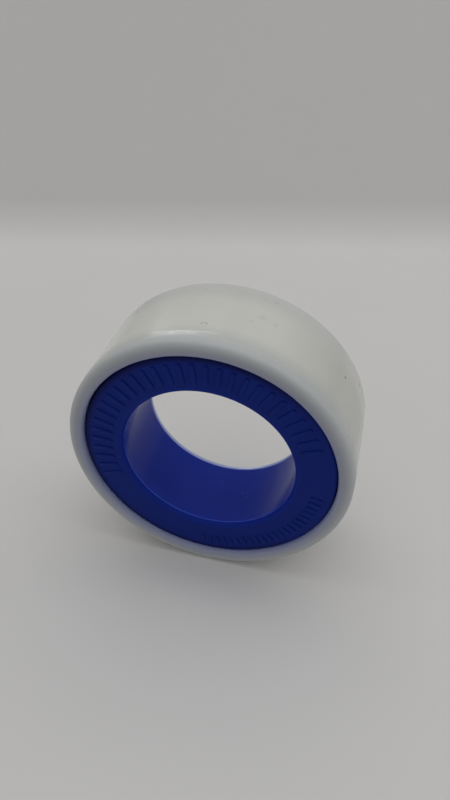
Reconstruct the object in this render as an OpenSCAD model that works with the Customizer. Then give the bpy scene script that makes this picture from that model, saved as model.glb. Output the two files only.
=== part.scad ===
// Roll of thread seal tape: a flanged spool in a round milky case, with the tape wound on the spool's hub.
// The roll's axis is Y and the flange faces -Y. The roll stands on the case's round wall, with Z up and
// the origin at the middle of the roll. Lengths are in millimetres.

/* [Tape] */
// Width of the tape
tape_w = 12; // [8:0.5:25]
// Thickness of one layer of tape
tape_t = 0.075; // [0.05:0.005:0.15]
// Length of tape on the hub
tape_len = 10000; // [4000:500:20000]
// Thickness of the free end, which is folded over once so that it can be found
end_t = 0.15; // [0.08:0.01:0.2]
// How far the free end reaches round the wound tape, in degrees
end_reach = 235; // [60:5:330]

/* [Spool] */
// Diameter of the bore through the hub
bore_d = 32.3; // [16:0.1:50]
// Wall of the hub
hub_wall = 0.95; // [0.9:0.05:3]
// Thickness of the flange
flange_t = 1.5; // [1.1:0.1:4]
// How far the flange stands out past the wound tape
flange_stand = 0.4; // [0.3:0.05:2]
// Rounding where the flange turns into the bore
bore_round = 0.9; // [0.2:0.1:1.4]
// Rounding of the flange's outer edge
edge_round = 0.5; // [0.2:0.1:1]
// Rounding of the bore's far edge
far_round = 0.15; // [0.1:0.05:0.5]
// Lead-in on the outside of the hub's far end
lead_in = 0.25; // [0.1:0.05:0.3]

/* [Case] */
// Thickness of the round wall
wall_t = 1.4; // [1:0.1:2.5]
// Width of the lip, from the mouth to the outside
lip_w = 2.85; // [2.85:0.05:6]
// Length of the collar, which draws in a little towards the lip
collar_len = 3.5; // [1.8:0.1:6]
// How far the collar draws in
collar_taper = 0.12; // [0:0.01:0.14]
// Rounding of the lip's outer edge
lip_round = 1.1; // [0.4:0.1:1.5]
// Rounding of the lip's inner edge, at the mouth
mouth_round = 0.7; // [0.3:0.1:1.2]
// Length of the ramp behind the lip, which lets the case strip off its mould
ramp_len = 1.6; // [0.4:0.1:4]
// Thickness of the back plate where the hub runs in it
plate_t = 1.3; // [0.8:0.1:4]
// Thickness of the stop lip that the hub's end meets
stop_t = 0.8; // [0.3:0.1:2]
// How far the stop lip reaches in over the hub's end
stop_w = 1; // [0.3:0.05:1]
// Depth of the back plate inside the back rim
back_recess = 2.4; // [1:0.1:6]
// Rounding of the back rim
rim_round = 0.45; // [0.1:0.05:0.45]

/* [Fits] */
// Depth of the flange's face inside the lip
face_recess = 0.8; // [0.3:0.1:3]
// Gap between the flange and the mouth
mouth_gap = 0.2; // [0.1:0.05:0.6]
// Running gap between the hub and the back plate's hole
run_gap = 0.08; // [0.04:0.01:0.1]
// Gap on each side of the tape
side_gap = 0.5; // [0.2:0.1:2]
// Gap between the hub's end and the stop lip
stop_gap = 0.05; // [0.02:0.01:0.2]
// Gap between the hub and the first layer of tape
seat_gap = 0.05; // [0.02:0.01:0.1]
// Gap between the wound tape and its free end
end_gap = 0.12; // [0.05:0.01:0.2]

/* [Hidden] */
$fn = 96;

// Steps round the outer layer of tape, and round its free end
layer_steps = 96;
end_steps = 60;

// Radii, from the bore outwards
bore_r = bore_d/2;
core_r = bore_r + hub_wall;
hole_r = core_r + run_gap;
stop_r = hole_r - stop_w;
first_r = core_r + seat_gap;
pack_r = sqrt(first_r*first_r + tape_len*tape_t/PI);
end_r = pack_r + end_gap;
flange_r = pack_r + flange_stand;
mouth_r = flange_r + mouth_gap;
case_r = mouth_r + lip_w;
collar_r = case_r - collar_taper;
wall_r = case_r - wall_t;

// Depths behind the lip's crown
flange_back = face_recess + flange_t;
tape_front = flange_back + side_gap;
plate_front = tape_front + tape_w + side_gap;
hole_back = plate_front + plate_t;
hub_back = hole_back - stop_gap;
plate_back = hole_back + stop_t;
case_w = plate_back + back_recess;

echo(outside_diameter = 2*case_r, width = case_w, wound_tape_radius = pack_r, hub_length = hub_back - face_recess);
echo(free_end_to_mouth_gap = mouth_r - end_r - end_t - end_gap*end_reach/360);

// Turns a section, drawn as radius and depth, or a depth along Z, into the roll's frame
module on_axis(depth = 0) {
    rotate([-90, 0, 0])
        translate([0, 0, depth - case_w/2])
            children();
}

// Quarter disc that rounds the corner of a section; into points from the corner into the material
module rounding(corner, into, r) {
    translate(corner)
        intersection() {
            translate(r*into)
                circle(r);
            translate([min(0, r*into[0]), min(0, r*into[1])])
                square(r);
        }
}

// Case: lip at the mouth, collar, round wall, and a recessed back plate with a stepped hole for the hub
module case_section() {
    polygon([
        [mouth_r, mouth_round],
        [mouth_r + mouth_round, 0],
        [collar_r - lip_round, 0],
        [collar_r, lip_round],
        [case_r, collar_len],
        [case_r, case_w - rim_round],
        [case_r - rim_round, case_w],
        [wall_r + rim_round, case_w],
        [wall_r, case_w - rim_round],
        [wall_r, plate_back],
        [stop_r, plate_back],
        [stop_r, hole_back],
        [hole_r, hole_back],
        [hole_r, plate_front],
        [wall_r, plate_front],
        [wall_r, flange_back + ramp_len],
        [mouth_r, flange_back]
    ]);
    rounding([mouth_r, 0], [1, 1], mouth_round);
    rounding([collar_r, 0], [-1, 1], lip_round);
    rounding([case_r, case_w], [-1, -1], rim_round);
    rounding([wall_r, case_w], [1, -1], rim_round);
}

module case() {
    color("whitesmoke")
        on_axis()
            rotate_extrude()
                case_section();
}

// Spool: one flange with a rounded edge and a rounded way into the bore, and the hub behind it
module spool_section() {
    polygon([
        [bore_r, face_recess + bore_round],
        [bore_r + bore_round, face_recess],
        [flange_r - edge_round, face_recess],
        [flange_r, face_recess + edge_round],
        [flange_r, flange_back],
        [core_r, flange_back],
        [core_r, hub_back - lead_in],
        [core_r - lead_in, hub_back],
        [bore_r + far_round, hub_back],
        [bore_r, hub_back - far_round]
    ]);
    rounding([bore_r, face_recess], [1, 1], bore_round);
    rounding([flange_r, face_recess], [-1, 1], edge_round);
    rounding([bore_r, hub_back], [1, -1], far_round);
}

module spool() {
    color("midnightblue")
        on_axis()
            rotate_extrude()
                spool_section();
}

// Points on a spiral that starts at radius r and grows by rise over one full turn
function spiral(r, rise, reach, steps) = [
    for (i = [0 : steps])
        let (turn = reach*i/steps)
            (r + rise*turn/360)*[cos(turn), sin(turn)]
];

function reversed(points) = [for (i = [len(points) - 1 : -1 : 0]) points[i]];

// Wound tape: its outer layer climbs by one thickness over the last turn and ends in a step
module tape_pack() {
    color("white")
        on_axis(tape_front)
            difference() {
                linear_extrude(tape_w)
                    polygon(spiral(pack_r - tape_t, tape_t, 360, layer_steps));
                translate([0, 0, -side_gap])
                    cylinder(h = tape_w + 2*side_gap, r = first_r);
            }
}

// Free end: the last stretch of tape, which lies loosely round the wound tape
module tape_end() {
    color("ghostwhite")
        on_axis(tape_front)
            linear_extrude(tape_w)
                polygon(concat(
                    spiral(end_r, end_gap, end_reach, end_steps),
                    reversed(spiral(end_r + end_t, end_gap, end_reach, end_steps))
                ));
}

case();
spool();
tape_pack();
tape_end();
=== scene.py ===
"""Looks of a cased roll of thread seal tape: its finished pieces, its materials and a small studio.

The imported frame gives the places: the roll's axis is Y, the flange faces -Y and Z is up, in metres.
"""

import math

import bmesh
import bpy
import numpy as np
from bpy.props import FloatProperty, FloatVectorProperty, IntProperty, PointerProperty
from bpy.types import NodeSocket, Operator, Panel, PropertyGroup
from mathutils import Matrix, Vector, noise


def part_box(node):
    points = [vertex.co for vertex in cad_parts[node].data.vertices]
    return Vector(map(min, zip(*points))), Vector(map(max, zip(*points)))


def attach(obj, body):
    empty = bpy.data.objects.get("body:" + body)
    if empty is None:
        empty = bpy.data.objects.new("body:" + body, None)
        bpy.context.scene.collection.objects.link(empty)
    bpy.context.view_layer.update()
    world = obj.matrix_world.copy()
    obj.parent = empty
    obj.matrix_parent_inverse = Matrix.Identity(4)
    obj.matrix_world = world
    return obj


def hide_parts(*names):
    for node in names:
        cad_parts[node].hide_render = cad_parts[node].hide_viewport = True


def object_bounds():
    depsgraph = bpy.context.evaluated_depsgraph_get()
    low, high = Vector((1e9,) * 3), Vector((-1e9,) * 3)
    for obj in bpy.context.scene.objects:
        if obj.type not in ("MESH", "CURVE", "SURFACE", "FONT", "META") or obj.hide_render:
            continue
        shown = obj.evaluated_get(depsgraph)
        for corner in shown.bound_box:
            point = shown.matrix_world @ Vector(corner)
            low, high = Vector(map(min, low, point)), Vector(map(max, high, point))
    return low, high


bl_info = {
    "name": "Thread seal tape roll",
    "version": (1, 0, 0),
    "blender": (4, 5, 0),
    "location": "3D View > Sidebar > Tape Roll",
    "description": "Builds a cased roll of thread seal tape and the studio it stands in",
    "category": "Mesh",
}

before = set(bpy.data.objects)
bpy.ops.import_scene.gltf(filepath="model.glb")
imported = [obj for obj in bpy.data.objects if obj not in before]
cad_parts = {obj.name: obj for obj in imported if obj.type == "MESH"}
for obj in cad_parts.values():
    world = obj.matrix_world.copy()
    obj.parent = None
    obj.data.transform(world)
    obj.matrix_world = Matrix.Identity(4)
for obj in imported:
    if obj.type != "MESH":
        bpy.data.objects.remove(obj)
CAD_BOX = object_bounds()

MM = 0.001
CASE_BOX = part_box("case")
SPOOL_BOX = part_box("spool")
PACK_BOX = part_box("tape_pack")
END_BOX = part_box("tape_end")

# The case's front, the flange's face and the hub's end are where the frame has them; depths
# count from the front
FRONT = CASE_BOX[0].y
FACE_DEPTH = SPOOL_BOX[0].y - FRONT
HUB_DEPTH = SPOOL_BOX[1].y - FRONT

# Steps of a full turn, steps of a rounded corner and the longest straight step of an outline
TURN_STEPS = 224
ROUND_STEPS = 10
OUTLINE_STEP = 0.9 * MM
# Steps of the paper's cove, and the turn of one step of the free end
COVE_STEPS = 24
FILM_STEP = math.radians(1.6)
# Edges that turn by more than this stay sharp
SHARP_TURN = math.radians(40)
# Width of the witness line's bead, over its height
BEAD_WIDTH = 3.5
# Waves of the free end's edge and face, per radian, how far its edge wanders as a share of its
# width, and the turn in which it rises to its height
EDGE_WAVES, FACE_WAVES = 9, 14
EDGE_WANDER = 0.015
TUCK_TURN = 0.35

# Most of a noise texture lies between these values
NOISE_LOW, NOISE_HIGH = 0.3, 0.7
# Refractive indices of polypropylene and of PTFE
PP_IOR, PTFE_IOR = 1.49, 1.35

# Specks and scuffs on the case's wall: angle from +X towards +Z in degrees, depth behind the lip
# and size across in millimetres, and darkness
WALL_MARKS = (
    (34.7, 12.9, 0.85, 0.8), (23.0, 17.9, 0.8, 0.5), (44.0, 10.7, 0.45, 0.3),
    (48.4, 10.2, 0.3, 0.3), (23.5, 11.5, 0.4, 0.25), (52.7, 10.9, 0.35, 0.2),
    (131.0, 16.4, 0.9, 0.6), (126.8, 7.9, 0.4, 0.25), (91.2, 12.5, 0.4, 0.2),
    (76.4, 17.0, 0.6, 0.16), (71.8, 17.5, 0.7, 0.2), (99.9, 17.4, 0.6, 0.14),
    (74.6, 11.5, 1.9, 0.08), (78.1, 9.5, 1.2, 0.07), (69.3, 11.1, 1.4, 0.07),
    (3.3, 13.8, 0.7, 0.4),
)
# A small curl on the wall, half a ring: angle, depth, diameter, width and darkness
WALL_RING = (93.1, 5.8, 0.95, 0.34, 0.22)
# Pale specks of dust in the bore: angle, depth, size and strength
BORE_MARKS = (
    (-89.3, 12.3, 0.4, 0.25), (-71.5, 9.6, 0.7, 0.1), (-67.3, 8.4, 0.5, 0.12),
    (-112.0, 6.5, 0.35, 0.15),
)

# The large lamp overhead: place, aim and size in metres
KEY_LAMP = ((0.2, 0.55, 1.0), (0.2, 0.55, 0.0), (2.4, 1.5))
# The narrow lamps behind, on an arc: name, place, aim on the crease, lean in degrees and share of
# the power; then their size
STRIP_LAMPS = (
    ("strip_left", (-0.2502, 0.3209, 0.1586), (-0.0079, -0.0064, 0.0253), -67.6, 0.75),
    ("strip_middle", (-0.1910, 0.3208, 0.2297), (-0.0043, -0.0065, 0.0261), -46.4, 0.85),
    ("strip_right", (-0.1101, 0.3275, 0.2718), (-0.0005, -0.0064, 0.0265), -20.1, 0.55),
)
STRIP_SIZE = (0.104, 0.012)
# How far the paper reaches to the front and to each side, and how high the backdrop stands
PAPER_REACH = 1.6
PAPER_TOP = 0.7


def linear(code):
    """The linear colour of an sRGB hex value such as #2A3593."""
    shades = [int(code[i:i + 2], 16) / 255 for i in (1, 3, 5)]
    return tuple(s / 12.92 if s <= 0.04045 else ((s + 0.055) / 1.055) ** 2.4 for s in shades)


def length(name, description, millimetres):
    """A length property, written in millimetres and kept in metres."""
    return FloatProperty(
        name=name, description=description, default=millimetres * MM,
        precision=5, unit="LENGTH", subtype="DISTANCE",
    )


def angle(name, description, degrees):
    """An angle property, written in degrees and kept in radians."""
    return FloatProperty(
        name=name, description=description, default=math.radians(degrees),
        precision=3, unit="ROTATION", subtype="ANGLE",
    )


def colour(name, description, code):
    """A colour property, written as an sRGB hex value and kept linear."""
    return FloatVectorProperty(
        name=name, description=description, default=linear(code),
        size=3, min=0.0, max=1.0, subtype="COLOR",
    )


class CaseSettings(PropertyGroup):
    """Sizes and colours of the milky case."""

    outer_radius: length("Outer radius", "Outside of the round wall", CASE_BOX[1].x / MM)
    width: length("Width", "From the lip's crown to the back rim", (CASE_BOX[1].y - FRONT) / MM)
    lip_width: length("Lip width", "From the mouth to the outside", 2.85)
    lip_round: length("Lip rounding", "Rounding of the lip's outer edge", 1.1)
    mouth_round: length("Mouth rounding", "Rounding of the lip's inner edge", 0.7)
    collar_length: length("Collar length", "Front band that draws in towards the lip", 3.5)
    collar_taper: length("Collar taper", "How far the collar draws in", 0.12)
    wall: length("Wall", "Thickness of the round wall", 1.4)
    lip_depth: length("Lip depth", "Depth of the lip at the mouth", 2.3)
    ramp: length("Ramp", "Length of the slope behind the lip", 1.6)
    plate_front: length("Plate front", "Depth of the back plate's inner face", 15.3)
    stop_front: length("Stop front", "Depth of the stop lip in the plate's hole", 16.6)
    plate_back: length("Plate back", "Depth of the back plate's outer face", 17.4)
    hole_radius: length("Hole radius", "Hole that the hub runs in", 17.18)
    stop_radius: length("Stop radius", "Inside of the stop lip", 16.18)
    crease: length("Crease", "Half the width of the soft crease between collar and wall", 0.4)
    rim_round: length("Rim rounding", "Rounding of the back rim", 0.45)
    inner_round: length("Inner rounding", "Rounding inside the chamber and the recess", 0.4)
    edge_break: length("Edge break", "Small rounding of every other edge", 0.12)
    body_colour: colour("Body", "Milky wall with the white tape behind it", "#CCCDC7")
    collar_colour: colour("Collar", "Milky wall with the flange's edge behind it", "#B0B4B4")
    # Painted shade that darkens the wall towards its right side
    right_shade_colour: colour("Far wall", "Milky wall where the tape lies further in", "#B4B5AF")
    rim_colour: colour("Rim", "Milky wall with nothing behind it", "#C2C3C0")
    # Grey of the thick lip, partly a painted shade
    lip_shade_colour: colour("Lip", "Lip towards the mouth, where it is thickest", "#9598A0")
    bleed_colour: colour("Bleed", "Blue that shines in from the spool beside it", "#8A8FA8")
    # Painted light: a paler blue inside the mouth, laid over the gap's shade
    gap_light_colour: colour("Gap", "Inside of the mouth, close to the flange's edge", "#A0A8DC")
    stop_colour: colour("Stop", "Stop lip with the hub's blue end against it", "#98AAEA")
    speck_colour: colour("Specks", "Dirt on the wall", "#4A4A46")


class SpoolSettings(PropertyGroup):
    """Sizes and colours of the blue spool."""

    flange_radius: length("Flange radius", "Outside of the flange", SPOOL_BOX[1].x / MM)
    flange_back: length("Flange back", "Depth of the flange's inner face", 2.3)
    core_radius: length("Core radius", "Outside of the hub", 17.1)
    bore_radius: length("Bore radius", "Inside of the hub", 16.15)
    bore_round: length("Bore rounding", "Rounding from the flange into the bore", 0.9)
    witness: length("Witness line", "Bead where the mould's core pin met the flange", 0.07)
    edge_round: length("Edge rounding", "Rounding of the flange's outer edge", 0.5)
    back_round: length("Back rounding", "Rounding of the flange's inner edge", 0.1)
    far_round: length("Far rounding", "Rounding of the bore's far edge", 0.15)
    lead_in: length("Lead-in", "Slope on the outside of the hub's far end", 0.25)
    root_round: length("Root rounding", "Fillet between the flange and the hub", 0.05)
    rib_height: length("Rib height", "How far the ribs stand off the flange", 0.22)
    rib_width: length("Rib width", "Width of a long rib", 0.85)
    rib_length: length("Rib length", "Length of a long rib", 4.0)
    rib_middle: length("Rib middle", "Radius of the long ribs' middles", 20.0)
    rib_start: angle("Rib start", "Where the row of long ribs starts", 22.0)
    rib_reach: angle("Rib reach", "How far the row of long ribs reaches", 178.0)
    rib_count: IntProperty(name="Ribs", description="Long ribs in the row", default=30, min=2)
    tick_width: length("Tick width", "Width of a short rib", 0.5)
    tick_length: length("Tick length", "Length of a short rib", 2.3)
    tick_middle: length("Tick middle", "Radius of the short ribs' middles", 20.7)
    tick_start: angle("Tick start", "Where the row of short ribs starts", -92.0)
    tick_reach: angle("Tick reach", "How far the row of short ribs reaches", 82.0)
    tick_count: IntProperty(name="Ticks", description="Short ribs in the row", default=22, min=2)
    face_colour: colour("Face", "Blue of the satin flange", "#0D2271")
    bore_colour: colour("Bore", "Blue of the polished bore", "#122C95")
    # Painted shade at the flange's outer edge
    edge_shade_colour: colour("Edge", "Darker blue at the flange's outer edge", "#050D46")
    # Painted highlight along the witness line's bead
    line_highlight_colour: colour("Line", "Thin, paler plastic of the witness line", "#2C4AC0")
    dust_colour: colour("Dust", "Pale specks in the bore", "#8C96C8")


class TapeSettings(PropertyGroup):
    """Sizes and colours of the wound tape and of its free end."""

    first_radius: length("First layer", "Inside of the wound tape", 17.15)
    pack_radius: length("Wound radius", "Outside of the wound tape", PACK_BOX[1].x / MM)
    layer: length("Layer", "Thickness of one layer", 0.075)
    end_radius: length("Free end radius", "Inside of the free end where it starts", 23.2037)
    end_rise: length("Free end rise", "How far the free end climbs in a full turn", 0.12)
    end_thickness: length("Free end thickness", "The free end, folded over once", 0.15)
    end_reach: angle("Free end reach", "How far the free end reaches round", 235.0)
    tab_thickness: length("Tab thickness", "Film folded back on the free end", 0.07)
    tab_reach: angle("Tab reach", "How far the folded tab reaches", 34.0)
    ripple: length("Ripple", "Waves in the outer film", 0.03)
    relief: length("Relief", "How unevenly the layers stand out on the sides", 0.12)
    tuck: length("Tuck", "How far the free end starts down on the wound tape", 0.07)
    film_colour: colour("Film", "White of the tape", "#DEDFDA")
    side_colour: colour("Side", "Shade between the layers on the sides", "#C6C8C4")


class StageSettings(PropertyGroup):
    """Camera, lamps and backdrop."""

    camera_place: FloatVectorProperty(
        name="Camera place", description="Where the camera stands", size=3,
        default=(23.24 * MM, -86.94 * MM, 80.88 * MM), unit="LENGTH", subtype="TRANSLATION",
    )
    azimuth: angle("Azimuth", "How far the camera stands round to the right", 14.286)
    elevation: angle("Elevation", "How far the camera looks down", 39.042)
    roll: angle("Roll", "How far the camera leans", 0.446)
    lens: FloatProperty(
        name="Lens", description="Focal length on a 36 mm sensor, in millimetres", default=28.45,
    )
    cove: length("Cove", "Rounding between the floor and the backdrop", 15.0)
    backdrop: length("Backdrop", "How far behind the roll the backdrop stands", 144.0)
    paper_colour: colour("Paper", "Floor and backdrop", "#D2D1D0")
    far_colour: colour("Far", "What stands beyond the backdrop", "#A6A5A3")
    glow: FloatProperty(
        name="Glow", description="Brightness added to the backdrop as seen", default=0.05,
    )
    ambient: FloatProperty(name="Ambient", description="Light from all round", default=0.53)
    key_power: FloatProperty(
        name="Key", description="Large soft lamp overhead, in watts", default=8.8, unit="POWER",
    )
    strip_power: FloatProperty(
        name="Strip", description="Each narrow lamp behind, in watts", default=0.05, unit="POWER",
    )


def add_node(tree, kind, links=(), **settings):
    """Adds one node; links gives an input, by name or number, a value or another's output."""
    made = tree.nodes.new(kind)
    for key, value in settings.items():
        setattr(made, key, value)
    for key, value in dict(links).items():
        if isinstance(value, NodeSocket):
            tree.links.new(value, made.inputs[key])
        else:
            made.inputs[key].default_value = value
    return made


def new_material(name):
    """A material with one Principled shader, and its node tree."""
    material = bpy.data.materials.new(name)
    material.use_nodes = True
    tree = material.node_tree
    tree.nodes.clear()
    shader = add_node(tree, "ShaderNodeBsdfPrincipled")
    add_node(tree, "ShaderNodeOutputMaterial", {"Surface": shader.outputs[0]})
    return material, tree, shader


def shade(values):
    """A linear colour as a node's socket takes it."""
    return (*values, 1.0)


def round_axis(tree):
    """Sockets for the place on the roll: the point, its distance from the axis, its X, Y and Z."""
    point = add_node(tree, "ShaderNodeTexCoord").outputs["Object"]
    flat = add_node(
        tree, "ShaderNodeVectorMath", {0: point, 1: (1.0, 0.0, 1.0)}, operation="MULTIPLY",
    )
    radius = add_node(tree, "ShaderNodeVectorMath", {0: flat.outputs[0]}, operation="LENGTH")
    parts = add_node(tree, "ShaderNodeSeparateXYZ", {0: point})
    return point, radius.outputs["Value"], parts.outputs


def place_on(radius, turn, depth):
    """The point at an angle in degrees and a depth in millimetres on a round wall."""
    turn = math.radians(turn)
    return Vector((radius * math.cos(turn), FRONT + depth * MM, radius * math.sin(turn)))


def marks_on(tree, point, radius, marks):
    """A socket with the strength of small marks at places on a round wall; their edges wander."""
    wander = add_node(
        tree, "ShaderNodeTexNoise", {"Vector": point, "Scale": 1 / (0.5 * MM), "Detail": 2.0},
    )
    shift = add_node(
        tree, "ShaderNodeVectorMath", {0: wander.outputs["Color"], 1: (0.5, 0.5, 0.5)},
        operation="SUBTRACT",
    )
    reach = 0.6 * MM
    uneven = add_node(
        tree, "ShaderNodeVectorMath", {0: shift.outputs[0], 1: (reach, reach, reach), 2: point},
        operation="MULTIPLY_ADD",
    )
    strength = 0.0
    for turn, depth, size, dark in marks:
        away = add_node(
            tree, "ShaderNodeVectorMath",
            {0: uneven.outputs[0], 1: place_on(radius, turn, depth)}, operation="DISTANCE",
        )
        mark = add_node(
            tree, "ShaderNodeMapRange",
            {
                "Value": away.outputs["Value"], "From Min": 0.5 * size * MM,
                "From Max": 0.15 * size * MM, "To Max": dark,
            },
            interpolation_type="SMOOTHSTEP",
        )
        strength = add_node(
            tree, "ShaderNodeMath", {0: strength, 1: mark.outputs[0]}, operation="MAXIMUM",
        ).outputs[0]
    return strength


def milky_polypropylene(case):
    """Natural polypropylene, injection moulded.

    The eye sees a milky, satin wall that light sinks into. What lies behind tints it: it is warm
    over the white tape, cooler over the flange's edge, and blue shines in beside the flange and
    the hub. The thick lip is grey, partly a painted shade that is weaker at the bottom; a painted
    shade darkens the wall's right side, and painted light makes the gap by the flange paler.
    """
    material, tree, shader = new_material("Milky polypropylene")
    point, radius, (across, depth, height) = round_axis(tree)
    mouth = case.outer_radius - case.lip_width
    crease = FRONT + case.collar_length

    # Where each tint, each painted shade, the painted light and the satin skin lie: what is measured,
    # where it starts, where it is full and how it rises. A painted shade darkens the wall towards
    # the right
    spans = {
        "over_tape": (depth, FRONT + 0.6 * MM, FRONT + 6.2 * MM, "SMOOTHSTEP"),
        "past_tape": (depth, FRONT + 13.2 * MM, FRONT + 17.4 * MM, "SMOOTHSTEP"),
        "right_shade": (across, 0.4 * case.outer_radius, case.outer_radius, "LINEAR"),
        "in_lip": (depth, FRONT + 3.2 * MM, FRONT + 2.2 * MM, "LINEAR"),
        "to_mouth": (radius, case.outer_radius, mouth + 1.1 * MM, "LINEAR"),
        "near_flange": (radius, mouth + 1.3 * MM, mouth + 0.3 * MM, "LINEAR"),
        "gap_light": (depth, FRONT + 0.4 * MM, FRONT + 1.0 * MM, "LINEAR"),
        "near_hub": (radius, case.stop_radius + 0.4 * MM, case.stop_radius + 0.1 * MM, "LINEAR"),
        "by_hub": (depth, FRONT + case.plate_back + 0.3 * MM, FRONT + case.stop_front, "LINEAR"),
        "satin": (depth, crease - case.crease, crease - 1.6 * MM, "LINEAR"),
    }
    share = {
        name: add_node(
            tree, "ShaderNodeMapRange", {"Value": measure, "From Min": start, "From Max": full},
            interpolation_type=rise,
        ).outputs[0]
        for name, (measure, start, full, rise) in spans.items()
    }
    # Painted light: the lip's painted grey shade is weaker towards the bottom, where the floor would
    # light it
    share["painted_floor_light"] = add_node(
        tree, "ShaderNodeMapRange",
        {"Value": height, "From Min": -0.9 * case.outer_radius, "From Max": 0.0, "To Min": 0.55},
    ).outputs[0]
    for name, one, other in (
        ("hub_tint", "near_hub", "by_hub"), ("bleed", "near_flange", "in_lip"),
        ("front", "painted_floor_light", "in_lip"), ("lip_shade", "to_mouth", "front"),
    ):
        share[name] = add_node(
            tree, "ShaderNodeMath", {0: share[one], 1: share[other]}, operation="MULTIPLY",
        ).outputs[0]

    # The tints, painted shades and painted light, each laid over the ones before it
    shown, blue = (
        add_node(
            tree, "ShaderNodeMix", {0: share[name], 6: shade(near), 7: shade(far)},
            data_type="RGBA",
        ).outputs[2]
        for name, near, far in (
            ("right_shade", case.body_colour, case.right_shade_colour),
            ("gap_light", case.bleed_colour, case.gap_light_colour),
        )
    )
    tint = shade(case.collar_colour)
    for name, laid_over in (
        ("over_tape", shown), ("past_tape", shade(case.rim_colour)),
        ("hub_tint", shade(case.stop_colour)), ("lip_shade", shade(case.lip_shade_colour)),
        ("bleed", blue),
    ):
        tint = add_node(
            tree, "ShaderNodeMix", {0: share[name], 6: tint, 7: laid_over}, data_type="RGBA",
        ).outputs[2]

    # Cloudy flow of the melt, about 7 mm across
    cloud = add_node(
        tree, "ShaderNodeTexNoise", {"Vector": point, "Scale": 1 / (7 * MM), "Detail": 3.0},
    )
    dull, uneven = (
        add_node(
            tree, "ShaderNodeMapRange",
            {
                "Value": cloud.outputs["Fac"], "From Min": NOISE_LOW, "From Max": NOISE_HIGH,
                "To Min": low, "To Max": high,
            },
        ).outputs[0]
        for low, high in ((0.985, 1.01), (0.9, 1.1))
    )
    clouded = add_node(
        tree, "ShaderNodeMix", {0: 1.0, 6: tint, 7: dull},
        data_type="RGBA", blend_type="MULTIPLY",
    )
    turn, along, wide, line, dark = WALL_RING
    from_ring = add_node(
        tree, "ShaderNodeVectorMath",
        {0: point, 1: place_on(case.outer_radius, turn, along)}, operation="DISTANCE",
    )
    ring = add_node(
        tree, "ShaderNodeMath",
        {0: from_ring.outputs["Value"], 1: 0.5 * wide * MM, 2: 0.5 * line * MM},
        operation="COMPARE",
    )
    far_half = add_node(
        tree, "ShaderNodeMapRange",
        {
            "Value": depth, "From Min": FRONT + (along - 0.3 * wide) * MM,
            "From Max": FRONT + along * MM, "To Max": dark,
        },
    )
    specks = marks_on(tree, point, case.outer_radius, WALL_MARKS)
    dirt = add_node(
        tree, "ShaderNodeMath", {0: ring.outputs[0], 1: far_half.outputs[0], 2: specks},
        operation="MULTIPLY_ADD",
    )
    marked = add_node(
        tree, "ShaderNodeMix",
        {0: dirt.outputs[0], 6: clouded.outputs[2], 7: shade(case.speck_colour)},
        data_type="RGBA",
    )
    tree.links.new(marked.outputs[2], shader.inputs["Base Color"])

    # The wall is glossiest at the crease, and the lip is satin in front of it
    polish = add_node(
        tree, "ShaderNodeMapRange",
        {
            "Value": depth, "From Min": crease + 0.8 * MM, "From Max": crease + 6 * MM,
            "To Min": 0.09, "To Max": 0.13,
        },
    )
    gloss = add_node(
        tree, "ShaderNodeMath", {0: polish.outputs[0], 1: uneven}, operation="MULTIPLY",
    )
    rough = add_node(tree, "ShaderNodeMix", {0: share["satin"], 2: gloss.outputs[0], 3: 0.5})
    tree.links.new(rough.outputs[0], shader.inputs["Roughness"])
    shader.inputs["IOR"].default_value = PP_IOR
    shader.inputs["Subsurface Weight"].default_value = 0.5
    shader.inputs["Subsurface Radius"].default_value = (1.0, 1.0, 1.0)
    shader.inputs["Subsurface Scale"].default_value = 1.2 * MM

    # Faint orange peel of the moulded skin, about 1.5 mm across
    peel = add_node(
        tree, "ShaderNodeTexNoise", {"Vector": point, "Scale": 1 / (1.5 * MM), "Detail": 2.0},
    )
    bump = add_node(
        tree, "ShaderNodeBump",
        {"Strength": 0.06, "Distance": 0.05 * MM, "Height": peel.outputs["Fac"]},
    )
    tree.links.new(bump.outputs[0], shader.inputs["Normal"])
    return material


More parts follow.
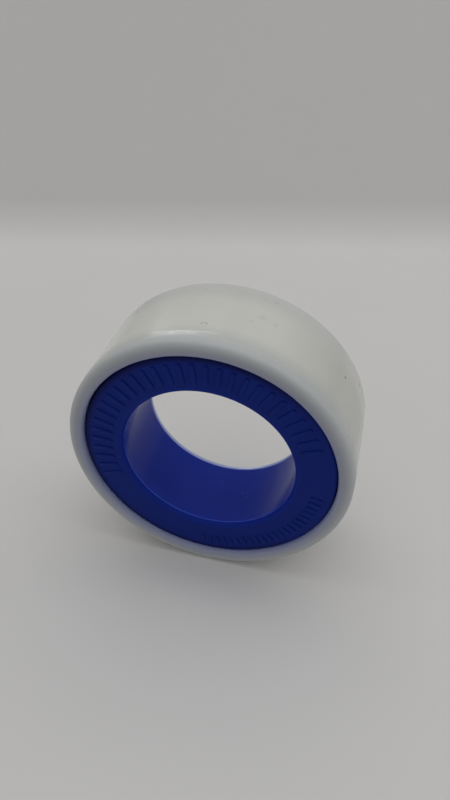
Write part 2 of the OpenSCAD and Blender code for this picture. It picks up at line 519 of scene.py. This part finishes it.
def blue_polypropylene(spool, name, body, roughness, gloss, marks=()):
    """Pigmented polypropylene, injection moulded.

    The eye sees a deep, even blue: satin where the mould was spark-eroded, and glossier where its
    core pin was polished. A painted shade darkens the flange's edge where it turns away into the
    gap; painted light brightens the rounding into the bore, and a painted highlight the witness line.
    """
    material, tree, shader = new_material(name)
    point, radius, (across, depth, _) = round_axis(tree)
    edge, bore = spool.flange_radius, spool.bore_radius

    # Painted shade darkens the flange's outer edge; it fades out on the right, where light gets into
    # the gap
    at_edge = add_node(
        tree, "ShaderNodeMapRange",
        {"Value": radius, "From Min": edge - 1.6 * MM, "From Max": edge - 0.3 * MM},
        interpolation_type="SMOOTHSTEP",
    )
    in_shade = add_node(
        tree, "ShaderNodeMapRange",
        {"Value": across, "From Min": 0.9 * edge, "From Max": 0.4 * edge},
    )
    edge_shade = add_node(
        tree, "ShaderNodeMath", {0: at_edge.outputs[0], 1: in_shade.outputs[0]},
        operation="MULTIPLY",
    )
    edged = add_node(
        tree, "ShaderNodeMix",
        {0: edge_shade.outputs[0], 6: shade(body), 7: shade(spool.edge_shade_colour)}, data_type="RGBA",
    )
    # Uneven pigment, about 4 mm across
    pigment = add_node(
        tree, "ShaderNodeTexNoise", {"Vector": point, "Scale": 1 / (4 * MM), "Detail": 3.0},
    )
    tone, rough = (
        add_node(
            tree, "ShaderNodeMapRange",
            {
                "Value": pigment.outputs["Fac"], "From Min": NOISE_LOW, "From Max": NOISE_HIGH,
                "To Min": low, "To Max": high,
            },
        ).outputs[0]
        for low, high in ((0.93, 1.06), (0.9 * roughness, 1.1 * roughness))
    )
    toned = add_node(
        tree, "ShaderNodeMix", {0: 1.0, 6: edged.outputs[2], 7: tone},
        data_type="RGBA", blend_type="MULTIPLY",
    )
    # Painted light: brighter blue where the flange turns into the bore, standing in for the light on
    # the rounding
    rounding_light = add_node(
        tree, "ShaderNodeMapRange",
        {
            "Value": radius, "From Min": bore + 1.2 * spool.bore_round, "From Max": bore,
            "To Max": 0.5,
        },
    )
    layers = [(rounding_light.outputs[0], spool.bore_colour)]
    if marks:
        # Painted highlight: a paler line along the witness line's bead
        line = FRONT + FACE_DEPTH + spool.bore_round + 0.5 * BEAD_WIDTH * spool.witness
        at_line = add_node(
            tree, "ShaderNodeMath", {0: depth, 1: line, 2: 2 * spool.witness},
            operation="COMPARE",
        )
        layers.append((at_line.outputs[0], spool.line_highlight_colour))
        layers.append((marks_on(tree, point, bore, marks), spool.dust_colour))
    painted = toned.outputs[2]
    for share, laid_over in layers:
        painted = add_node(
            tree, "ShaderNodeMix", {0: share, 6: painted, 7: shade(laid_over)}, data_type="RGBA",
        ).outputs[2]
    tree.links.new(painted, shader.inputs["Base Color"])
    tree.links.new(rough, shader.inputs["Roughness"])
    shader.inputs["IOR"].default_value = PP_IOR
    shader.inputs["Specular IOR Level"].default_value = gloss

    # Fine grain of the mould, drawn at 0.35 mm because the real 0.05 mm would not show
    grain = add_node(
        tree, "ShaderNodeTexNoise", {"Vector": point, "Scale": 1 / (0.35 * MM), "Detail": 2.0},
    )
    bump = add_node(
        tree, "ShaderNodeBump",
        {"Strength": 0.25 * roughness, "Distance": 0.02 * MM, "Height": grain.outputs["Fac"]},
    )
    tree.links.new(bump.outputs[0], shader.inputs["Normal"])
    return material


def ptfe_film(tape):
    """Unsintered PTFE film, calendered and stretched.

    The eye sees a soft, chalky white with a faint sheen, long streaks in the direction it was
    drawn and, on the sides of the roll, the rings of its layers.
    """
    material, tree, shader = new_material("PTFE film")
    _, radius, (_, depth, _) = round_axis(tree)

    # Layers on the sides: the real 0.075 mm would not show, so a ring stands for six layers
    rings = add_node(
        tree, "ShaderNodeTexNoise", {"W": radius, "Scale": 1 / (0.45 * MM), "Detail": 2.0},
        noise_dimensions="1D",
    )
    # Streaks along the tape, about 0.6 mm apart across it
    streaks = add_node(
        tree, "ShaderNodeTexNoise", {"W": depth, "Scale": 1 / (0.6 * MM), "Detail": 3.0},
        noise_dimensions="1D",
    )
    on_side = add_node(
        tree, "ShaderNodeMapRange",
        {
            "Value": radius, "From Min": tape.pack_radius - 0.05 * MM,
            "From Max": tape.pack_radius - 0.2 * MM,
        },
    )
    lines = add_node(
        tree, "ShaderNodeMix",
        {0: on_side.outputs[0], 2: streaks.outputs["Fac"], 3: rings.outputs["Fac"]},
    )
    spread = add_node(
        tree, "ShaderNodeMapRange", {"Value": lines.outputs[0], "From Min": 0.3, "From Max": 0.65},
    )
    film = add_node(
        tree, "ShaderNodeMix",
        {0: spread.outputs[0], 6: shade(tape.side_colour), 7: shade(tape.film_colour)},
        data_type="RGBA",
    )
    tree.links.new(film.outputs[2], shader.inputs["Base Color"])
    rough = add_node(
        tree, "ShaderNodeMapRange", {"Value": lines.outputs[0], "To Min": 0.62, "To Max": 0.45},
    )
    tree.links.new(rough.outputs[0], shader.inputs["Roughness"])
    shader.inputs["IOR"].default_value = PTFE_IOR
    shader.inputs["Subsurface Weight"].default_value = 0.3
    shader.inputs["Subsurface Scale"].default_value = 0.6 * MM
    bump = add_node(
        tree, "ShaderNodeBump",
        {"Strength": 0.5, "Distance": 0.05 * MM, "Height": lines.outputs[0]},
    )
    tree.links.new(bump.outputs[0], shader.inputs["Normal"])
    return material


def seeing_rays(tree):
    """A socket that is 1 for the rays that show the background, and 0 for those that light."""
    path = add_node(tree, "ShaderNodeLightPath")
    seen = path.outputs["Is Camera Ray"]
    for kind in ("Is Glossy Ray", "Is Transmission Ray"):
        seen = add_node(
            tree, "ShaderNodeMath", {0: seen, 1: path.outputs[kind]}, operation="MAXIMUM",
        ).outputs[0]
    return seen


def studio_paper(stage):
    """Coated backdrop paper, plain and pale, with no gloss to speak of."""
    material, tree, shader = new_material("Studio paper")
    point = add_node(tree, "ShaderNodeTexCoord").outputs["Object"]
    fibre = add_node(
        tree, "ShaderNodeTexNoise", {"Vector": point, "Scale": 1 / (40 * MM), "Detail": 2.0},
    )
    tone = add_node(
        tree, "ShaderNodeMapRange",
        {"Value": fibre.outputs["Fac"], "To Min": 0.985, "To Max": 1.015},
    )
    paper = add_node(
        tree, "ShaderNodeMix",
        {0: 1.0, 6: shade(stage.paper_colour), 7: tone.outputs[0]},
        data_type="RGBA", blend_type="MULTIPLY",
    )
    tree.links.new(paper.outputs[2], shader.inputs["Base Color"])
    shader.inputs["Roughness"].default_value = 0.85
    shader.inputs["Specular IOR Level"].default_value = 0.1

    # The backdrop is lifted as it is seen, and lights nothing, so it is not sampled as a lamp
    material.cycles.emission_sampling = "NONE"
    floor = CAD_BOX[0].z
    height = add_node(tree, "ShaderNodeSeparateXYZ", {0: point}).outputs["Z"]
    lifted = add_node(
        tree, "ShaderNodeMapRange",
        {
            "Value": height, "From Min": floor + 1 * MM, "From Max": floor + 14 * MM,
            "To Max": stage.glow,
        },
        interpolation_type="SMOOTHSTEP",
    )
    shown = add_node(
        tree, "ShaderNodeMath", {0: lifted.outputs[0], 1: seeing_rays(tree)}, operation="MULTIPLY",
    )
    tree.links.new(shown.outputs[0], shader.inputs["Emission Strength"])
    shader.inputs["Emission Color"].default_value = shade(stage.paper_colour)
    return material


def rounded_outline(corners, step=OUTLINE_STEP):
    """A bmesh with a closed outline of (radius, depth, rounding) corners, cut in steps."""
    shape = bmesh.new()
    verts = [shape.verts.new((radius, FRONT + depth, 0.0)) for radius, depth, _ in corners]
    shape.faces.new(verts)
    for vert, (_, _, rounding) in zip(verts, corners):
        if rounding > 0.0:
            bmesh.ops.bevel(
                shape, geom=[vert], offset=rounding, offset_type="OFFSET", affect="VERTICES",
                segments=ROUND_STEPS, profile=0.5, material=-1,
            )
    for edge in shape.edges[:]:
        cuts = math.ceil(edge.calc_length() / step) - 1
        if cuts > 0:
            bmesh.ops.subdivide_edges(shape, edges=[edge], cuts=cuts)
    bmesh.ops.delete(shape, geom=shape.faces[:], context="FACES_ONLY")
    return shape


def turn_of(vert):
    """How far a vertex lies round the roll, from +X towards -Z, in radians."""
    return math.atan2(-vert.co.z, vert.co.x) % math.tau


def spin_round(shape, turn=math.tau, steps=TURN_STEPS, closed=True):
    """Spins an outline about the roll's axis; gives each vertex's share of the turn."""
    first = set(shape.verts)
    start = turn_of(shape.verts[:][0])
    made = bmesh.ops.spin(
        shape, geom=shape.verts[:] + shape.edges[:], cent=(0, 0, 0), axis=(0, 1, 0),
        angle=turn, steps=steps, use_merge=closed,
    )
    last = {v for v in made["geom_last"] if isinstance(v, bmesh.types.BMVert)}
    return {
        v: 0.0 if v in first else 1.0 if v in last else (turn_of(v) - start) / turn
        for v in shape.verts
    }


def close_up(shape):
    """Merges doubles, fills what is open and turns the faces outwards."""
    bmesh.ops.remove_doubles(shape, verts=shape.verts[:], dist=1e-7)
    bmesh.ops.holes_fill(shape, edges=[e for e in shape.edges if e.is_boundary])
    bmesh.ops.recalc_face_normals(shape, faces=shape.faces[:])


def finish_piece(name, shape, material, body, slot, *nodes):
    """Makes a piece of a bmesh; it rides on its body and stands for the CAD nodes named."""
    data = bpy.data.meshes.new(name)
    shape.to_mesh(data)
    shape.free()
    data.shade_smooth()
    data.set_sharp_from_angle(angle=SHARP_TURN)
    data.materials.append(material)
    piece = bpy.data.objects.new(name, data)
    bpy.context.scene.collection.objects.link(piece)
    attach(piece, body)
    if nodes:
        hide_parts(*nodes)
    return piece


class ROLL_OT_case(Operator):
    """Adds the milky case: lip, collar, round wall and recessed back plate"""

    bl_idname = "roll.case"
    bl_label = "Case"

    def execute(self, context):
        case = context.scene.roll_case
        outside = case.outer_radius
        mouth = outside - case.lip_width
        inside = outside - case.wall
        broken = case.edge_break
        drawn_in = case.collar_taper * case.collar_length / (case.collar_length - case.lip_round)
        shape = rounded_outline([
            (mouth, 0.0, case.mouth_round),
            (outside - drawn_in, 0.0, case.lip_round),
            (outside, case.collar_length, case.crease),
            (outside, case.width, case.rim_round),
            (inside, case.width, case.rim_round),
            (inside, case.plate_back, case.inner_round),
            (case.stop_radius, case.plate_back, broken),
            (case.stop_radius, case.stop_front, broken),
            (case.hole_radius, case.stop_front, 0.0),
            (case.hole_radius, case.plate_front, broken),
            (inside, case.plate_front, case.inner_round),
            (inside, case.lip_depth + case.ramp, case.inner_round),
            (mouth, case.lip_depth, broken),
        ])
        spin_round(shape)
        close_up(shape)
        finish_piece(
            "milky_case", shape, milky_polypropylene(case), "case", "milky_plastic", "case",
        )
        return {"FINISHED"}


def add_rib(shape, height, turn, middle, long, wide):
    """Adds one raised rib with round ends to the flange's face, at an angle from +X towards +Z."""
    # The foot is sunk in the face, and the roundings of an end stop short of meeting
    sunk = 0.1 * MM
    high = height + sunk
    end_round = 0.46 * wide
    made = bmesh.ops.create_cube(shape, size=1.0)["verts"]
    bmesh.ops.scale(shape, vec=(long, high, wide), verts=made)
    upright = [
        e for e in {e for v in made for e in v.link_edges}
        if abs(e.verts[0].co.y - e.verts[1].co.y) > 0.5 * high
    ]
    rounded = bmesh.ops.bevel(
        shape, geom=upright, offset=end_round, offset_type="OFFSET", affect="EDGES",
        segments=4, profile=0.5, material=-1,
    )
    verts = list({v for f in rounded["faces"] for v in f.verts})
    top = [
        e for e in {e for v in verts for e in v.link_edges}
        if all(v.co.y < -0.49 * high for v in e.verts)
    ]
    softened = bmesh.ops.bevel(
        shape, geom=top, offset=0.5 * height, offset_type="OFFSET", affect="EDGES",
        segments=2, profile=0.5, material=-1,
    )
    verts = list({v for v in verts if v.is_valid} | {v for f in softened["faces"] for v in f.verts})
    face = FRONT + FACE_DEPTH
    bmesh.ops.translate(shape, vec=(middle, face + sunk - high / 2, 0.0), verts=verts)
    bmesh.ops.rotate(
        shape, cent=(0, 0, 0), matrix=Matrix.Rotation(-turn, 3, "Y"), verts=verts,
    )


class ROLL_OT_spool(Operator):
    """Adds the blue spool: a flange with raised ribs, and the hub with its bore"""

    bl_idname = "roll.spool"
    bl_label = "Spool"

    def execute(self, context):
        spool = context.scene.roll_spool
        satin = blue_polypropylene(
            spool, "Blue polypropylene, satin", spool.face_colour, roughness=0.45, gloss=0.08,
        )
        polished = blue_polypropylene(
            spool, "Blue polypropylene, polished", spool.bore_colour, roughness=0.18, gloss=0.15,
            marks=BORE_MARKS,
        )
        # The witness line is a bead; its near foot stays a hair clear of the bore's rounding
        line = FACE_DEPTH + spool.bore_round
        bead = BEAD_WIDTH * spool.witness
        hair = 0.01 * MM
        shape = rounded_outline([
            (spool.bore_radius, line + bead, 3 * hair),
            (spool.bore_radius - spool.witness, line + 0.5 * bead, 6 * hair),
            (spool.bore_radius, line + hair, 0.5 * hair),
            (spool.bore_radius, FACE_DEPTH, spool.bore_round),
            (spool.flange_radius, FACE_DEPTH, spool.edge_round),
            (spool.flange_radius, spool.flange_back, spool.back_round),
            (spool.core_radius, spool.flange_back, spool.root_round),
            (spool.core_radius, HUB_DEPTH, spool.lead_in),
            (spool.bore_radius, HUB_DEPTH, spool.far_round),
        ])
        spin_round(shape)
        close_up(shape)
        for face in shape.faces:
            middle = face.calc_center_median()
            in_bore = math.hypot(middle.x, middle.z) < spool.bore_radius + 0.1 * MM
            face.material_index = int(in_bore and middle.y > FRONT + line)
        blue = finish_piece("blue_spool", shape, satin, "spool", "blue_plastic", "spool")
        blue.data.materials.append(polished)

        ribs = bmesh.new()
        for count, start, reach, *sizes in (
            (
                spool.rib_count, spool.rib_start, spool.rib_reach,
                spool.rib_middle, spool.rib_length, spool.rib_width,
            ),
            (
                spool.tick_count, spool.tick_start, spool.tick_reach,
                spool.tick_middle, spool.tick_length, spool.tick_width,
            ),
        ):
            for i in range(count):
                add_rib(ribs, spool.rib_height, start + reach * i / (count - 1), *sizes)
        bmesh.ops.recalc_face_normals(ribs, faces=ribs.faces[:])
        finish_piece("flange_ribs", ribs, satin, "spool", "blue_plastic")
        return {"FINISHED"}


def set_radius(vert, radius):
    """Moves a vertex straight out or in to a distance from the roll's axis."""
    grown = radius / math.hypot(vert.co.x, vert.co.z)
    vert.co.x *= grown
    vert.co.z *= grown


def add_film(tape, shape, lift, thickness, start, reach, widths):
    """Adds a strip of film that climbs round the roll; widths gives its width by share of reach."""
    low, high = END_BOX[0].y - FRONT, END_BOX[1].y - FRONT
    middle = FRONT + 0.5 * (low + high)
    inner = tape.end_radius + lift
    outer = inner + thickness
    soft = 0.4 * thickness
    film = rounded_outline(
        [(inner, low, soft), (outer, low, soft), (outer, high, soft), (inner, high, soft)],
        step=0.6 * MM,
    )
    bmesh.ops.rotate(
        film, cent=(0, 0, 0), matrix=Matrix.Rotation(start, 3, "Y"), verts=film.verts[:],
    )
    steps = math.ceil(reach / FILM_STEP)
    for vert, share in spin_round(film, reach, steps, closed=False).items():
        turned = start + share * reach
        side = math.copysign(1.0, vert.co.y - middle)
        wander = noise.noise(Vector((turned * EDGE_WAVES, side, 0.0)))
        ripple = noise.noise(Vector((turned * FACE_WAVES, (vert.co.y - middle) / (3 * MM), 5.0)))
        radius = math.hypot(vert.co.x, vert.co.z) + tape.end_rise * turned / math.tau
        tucked = tape.tuck * max(0.0, 1 - turned / TUCK_TURN)
        set_radius(vert, radius + tape.ripple * ripple - tucked)
        wide = np.interp(share, list(widths), list(widths.values()))
        wide *= 1 - EDGE_WANDER + EDGE_WANDER * wander
        vert.co.y = middle + (vert.co.y - middle) * wide
    close_up(film)
    made = bpy.data.meshes.new("film")
    film.to_mesh(made)
    film.free()
    shape.from_mesh(made)
    bpy.data.meshes.remove(made)


class ROLL_OT_tape(Operator):
    """Adds the wound tape and its free end"""

    bl_idname = "roll.tape"
    bl_label = "Tape"

    def execute(self, context):
        tape = context.scene.roll_tape
        material = ptfe_film(tape)
        front, back = PACK_BOX[0].y, PACK_BOX[1].y
        step = tape.pack_radius - tape.layer

        # The outer layer climbs by one thickness over the last turn and ends in a step; the layers
        # stand out unevenly on the sides
        shape = rounded_outline([
            (tape.first_radius, front - FRONT, 0.0),
            (step, front - FRONT, 0.0),
            (tape.pack_radius, front - FRONT, 0.0),
            (tape.pack_radius, back - FRONT, 0.0),
            (step, back - FRONT, 0.0),
            (tape.first_radius, back - FRONT, 0.0),
        ], step=0.22 * MM)
        for vert, share in spin_round(shape, closed=False).items():
            radius = math.hypot(vert.co.x, vert.co.z)
            turned = share * math.tau
            if radius > step + 0.5 * tape.layer:
                round_it = 3 * math.cos(turned), 3 * math.sin(turned)
                sway = noise.noise(Vector((vert.co.y / (1.2 * MM), *round_it)))
                set_radius(vert, step + tape.layer * share + 0.5 * tape.ripple * min(0.0, sway))
            if radius < step + 0.5 * tape.layer or vert.co.y in (front, back):
                inwards = 1.0 if vert.co.y < 0.5 * (front + back) else -1.0
                uneven = noise.noise(Vector((radius / (0.4 * MM), 2 * math.cos(turned), inwards)))
                vert.co.y += inwards * tape.relief * (0.5 + 0.5 * uneven)
        close_up(shape)
        finish_piece("wound_tape", shape, material, "spool", "seal_tape", "tape_pack")

        # The free end narrows where its corners are folded in, over half the tab's reach, and the
        # folded tab lies a hair above it
        shape = bmesh.new()
        narrows = 1.0 - 0.5 * tape.tab_reach / tape.end_reach
        hair = 0.01 * MM
        add_film(
            tape, shape, 0.0, tape.end_thickness, 0.0, tape.end_reach,
            {0.0: 1.0, narrows: 1.0, 1.0: 0.55},
        )
        add_film(
            tape, shape, tape.end_thickness + hair, tape.tab_thickness,
            tape.end_reach - tape.tab_reach, tape.tab_reach,
            {0.0: 0.06, 0.5: 0.92, 1.0: 0.52},
        )
        finish_piece("tape_free_end", shape, material, "tape_end", "seal_tape", "tape_end")
        return {"FINISHED"}


def add_lamp(name, place, aim, size, power, lean=0.0):
    """Adds a soft rectangular lamp, turned towards a point and leaning about its beam."""
    light = bpy.data.lights.new(name, "AREA")
    light.shape = "RECTANGLE"
    light.size, light.size_y = size
    light.energy = power
    lamp = bpy.data.objects.new(name, light)
    lamp.location = place
    turned = (Vector(aim) - Vector(place)).to_track_quat("-Z", "Y").to_matrix()
    lamp.rotation_euler = (turned @ Matrix.Rotation(lean, 3, "Z")).to_euler()
    lamp.visible_camera = False
    bpy.context.scene.collection.objects.link(lamp)
    return lamp


class ROLL_OT_stage(Operator):
    """Adds the camera, the paper sweep, the lamps and the world"""

    bl_idname = "roll.stage"
    bl_label = "Stage"

    def execute(self, context):
        scene, stage = context.scene, context.scene.roll_stage
        scene.view_settings.view_transform = "Standard"

        camera = bpy.data.objects.new("camera", bpy.data.cameras.new("camera"))
        camera.data.lens = stage.lens
        camera.data.clip_start = 1 * MM
        flat = math.cos(stage.elevation)
        ahead = Vector((
            -math.sin(stage.azimuth) * flat, math.cos(stage.azimuth) * flat,
            -math.sin(stage.elevation),
        ))
        turned = ahead.to_track_quat("-Z", "Y").to_matrix() @ Matrix.Rotation(stage.roll, 3, "Z")
        camera.matrix_world = Matrix.LocRotScale(
            Vector(stage.camera_place), turned.to_quaternion(), None,
        )
        scene.collection.objects.link(camera)
        scene.camera = camera

        # One sheet of paper: floor, cove and backdrop, square to the camera
        floor = CAD_BOX[0].z
        paper = bmesh.new()
        line = [
            paper.verts.new((-PAPER_REACH, y, z)) for y, z in (
                (-PAPER_REACH, floor), (stage.backdrop, floor), (stage.backdrop, PAPER_TOP),
            )
        ]
        for pair in zip(line, line[1:]):
            paper.edges.new(pair)
        bmesh.ops.bevel(
            paper, geom=[line[1]], offset=stage.cove, offset_type="OFFSET", affect="VERTICES",
            segments=COVE_STEPS, profile=0.5, material=-1,
        )
        swept = bmesh.ops.extrude_edge_only(paper, edges=paper.edges[:])["geom"]
        bmesh.ops.translate(
            paper, vec=(2 * PAPER_REACH, 0, 0),
            verts=[v for v in swept if isinstance(v, bmesh.types.BMVert)],
        )
        bmesh.ops.rotate(
            paper, cent=(0, 0, 0), matrix=Matrix.Rotation(stage.azimuth, 3, "Z"),
            verts=paper.verts[:],
        )
        bmesh.ops.recalc_face_normals(paper, faces=paper.faces[:])
        for face in paper.faces:
            in_cove = 0.01 < abs(face.normal.z) < 0.99
            face.smooth = in_cove
        data = bpy.data.meshes.new("paper_sweep")
        paper.to_mesh(data)
        paper.free()
        data.materials.append(studio_paper(stage))
        sweep = bpy.data.objects.new("paper_sweep", data)
        sweep.visible_shadow = False
        scene.collection.objects.link(sweep)

        add_lamp("key", *KEY_LAMP, stage.key_power)
        # The narrow lamps draw the thin highlight on the crease, and light the case alone
        lit = bpy.data.collections.new("lit_by_strips")
        lit.objects.link(bpy.data.objects["milky_case"])
        for name, place, aim, lean, share in STRIP_LAMPS:
            strip = add_lamp(
                name, place, aim, STRIP_SIZE, share * stage.strip_power, math.radians(lean),
            )
            strip.light_linking.receiver_collection = lit

        world = bpy.data.worlds.new("studio")
        world.use_nodes = True
        tree = world.node_tree
        tree.nodes.clear()
        dim, far = (
            add_node(
                tree, "ShaderNodeBackground", {"Color": tint, "Strength": strength},
            ).outputs[0]
            for tint, strength in (((1, 1, 1, 1), stage.ambient), (shade(stage.far_colour), 1.0))
        )
        both = add_node(tree, "ShaderNodeMixShader", {0: seeing_rays(tree), 1: dim, 2: far})
        add_node(tree, "ShaderNodeOutputWorld", {"Surface": both.outputs[0]})
        scene.world = world
        return {"FINISHED"}


class ROLL_PT_panel(Panel):
    """The roll's settings and the steps that build it"""

    bl_idname = "ROLL_PT_panel"
    bl_label = "Thread seal tape roll"
    bl_space_type = "VIEW_3D"
    bl_region_type = "UI"
    bl_category = "Tape Roll"

    def draw(self, context):
        for operator, settings in (
            (ROLL_OT_case, context.scene.roll_case),
            (ROLL_OT_spool, context.scene.roll_spool),
            (ROLL_OT_tape, context.scene.roll_tape),
            (ROLL_OT_stage, context.scene.roll_stage),
        ):
            box = self.layout.box()
            box.operator(operator.bl_idname)
            for key in settings.__annotations__:
                box.prop(settings, key)


CLASSES = (
    CaseSettings, SpoolSettings, TapeSettings, StageSettings,
    ROLL_OT_case, ROLL_OT_spool, ROLL_OT_tape, ROLL_OT_stage, ROLL_PT_panel,
)
SETTINGS = {
    "roll_case": CaseSettings, "roll_spool": SpoolSettings,
    "roll_tape": TapeSettings, "roll_stage": StageSettings,
}


def register():
    for cls in CLASSES:
        bpy.utils.register_class(cls)
    for key, cls in SETTINGS.items():
        setattr(bpy.types.Scene, key, PointerProperty(type=cls))


def unregister():
    for key in SETTINGS:
        delattr(bpy.types.Scene, key)
    for cls in reversed(CLASSES):
        bpy.utils.unregister_class(cls)


def main():
    register()
    bpy.ops.roll.case()
    bpy.ops.roll.spool()
    bpy.ops.roll.tape()
    bpy.ops.roll.stage()


if __name__ == "__main__":
    main()
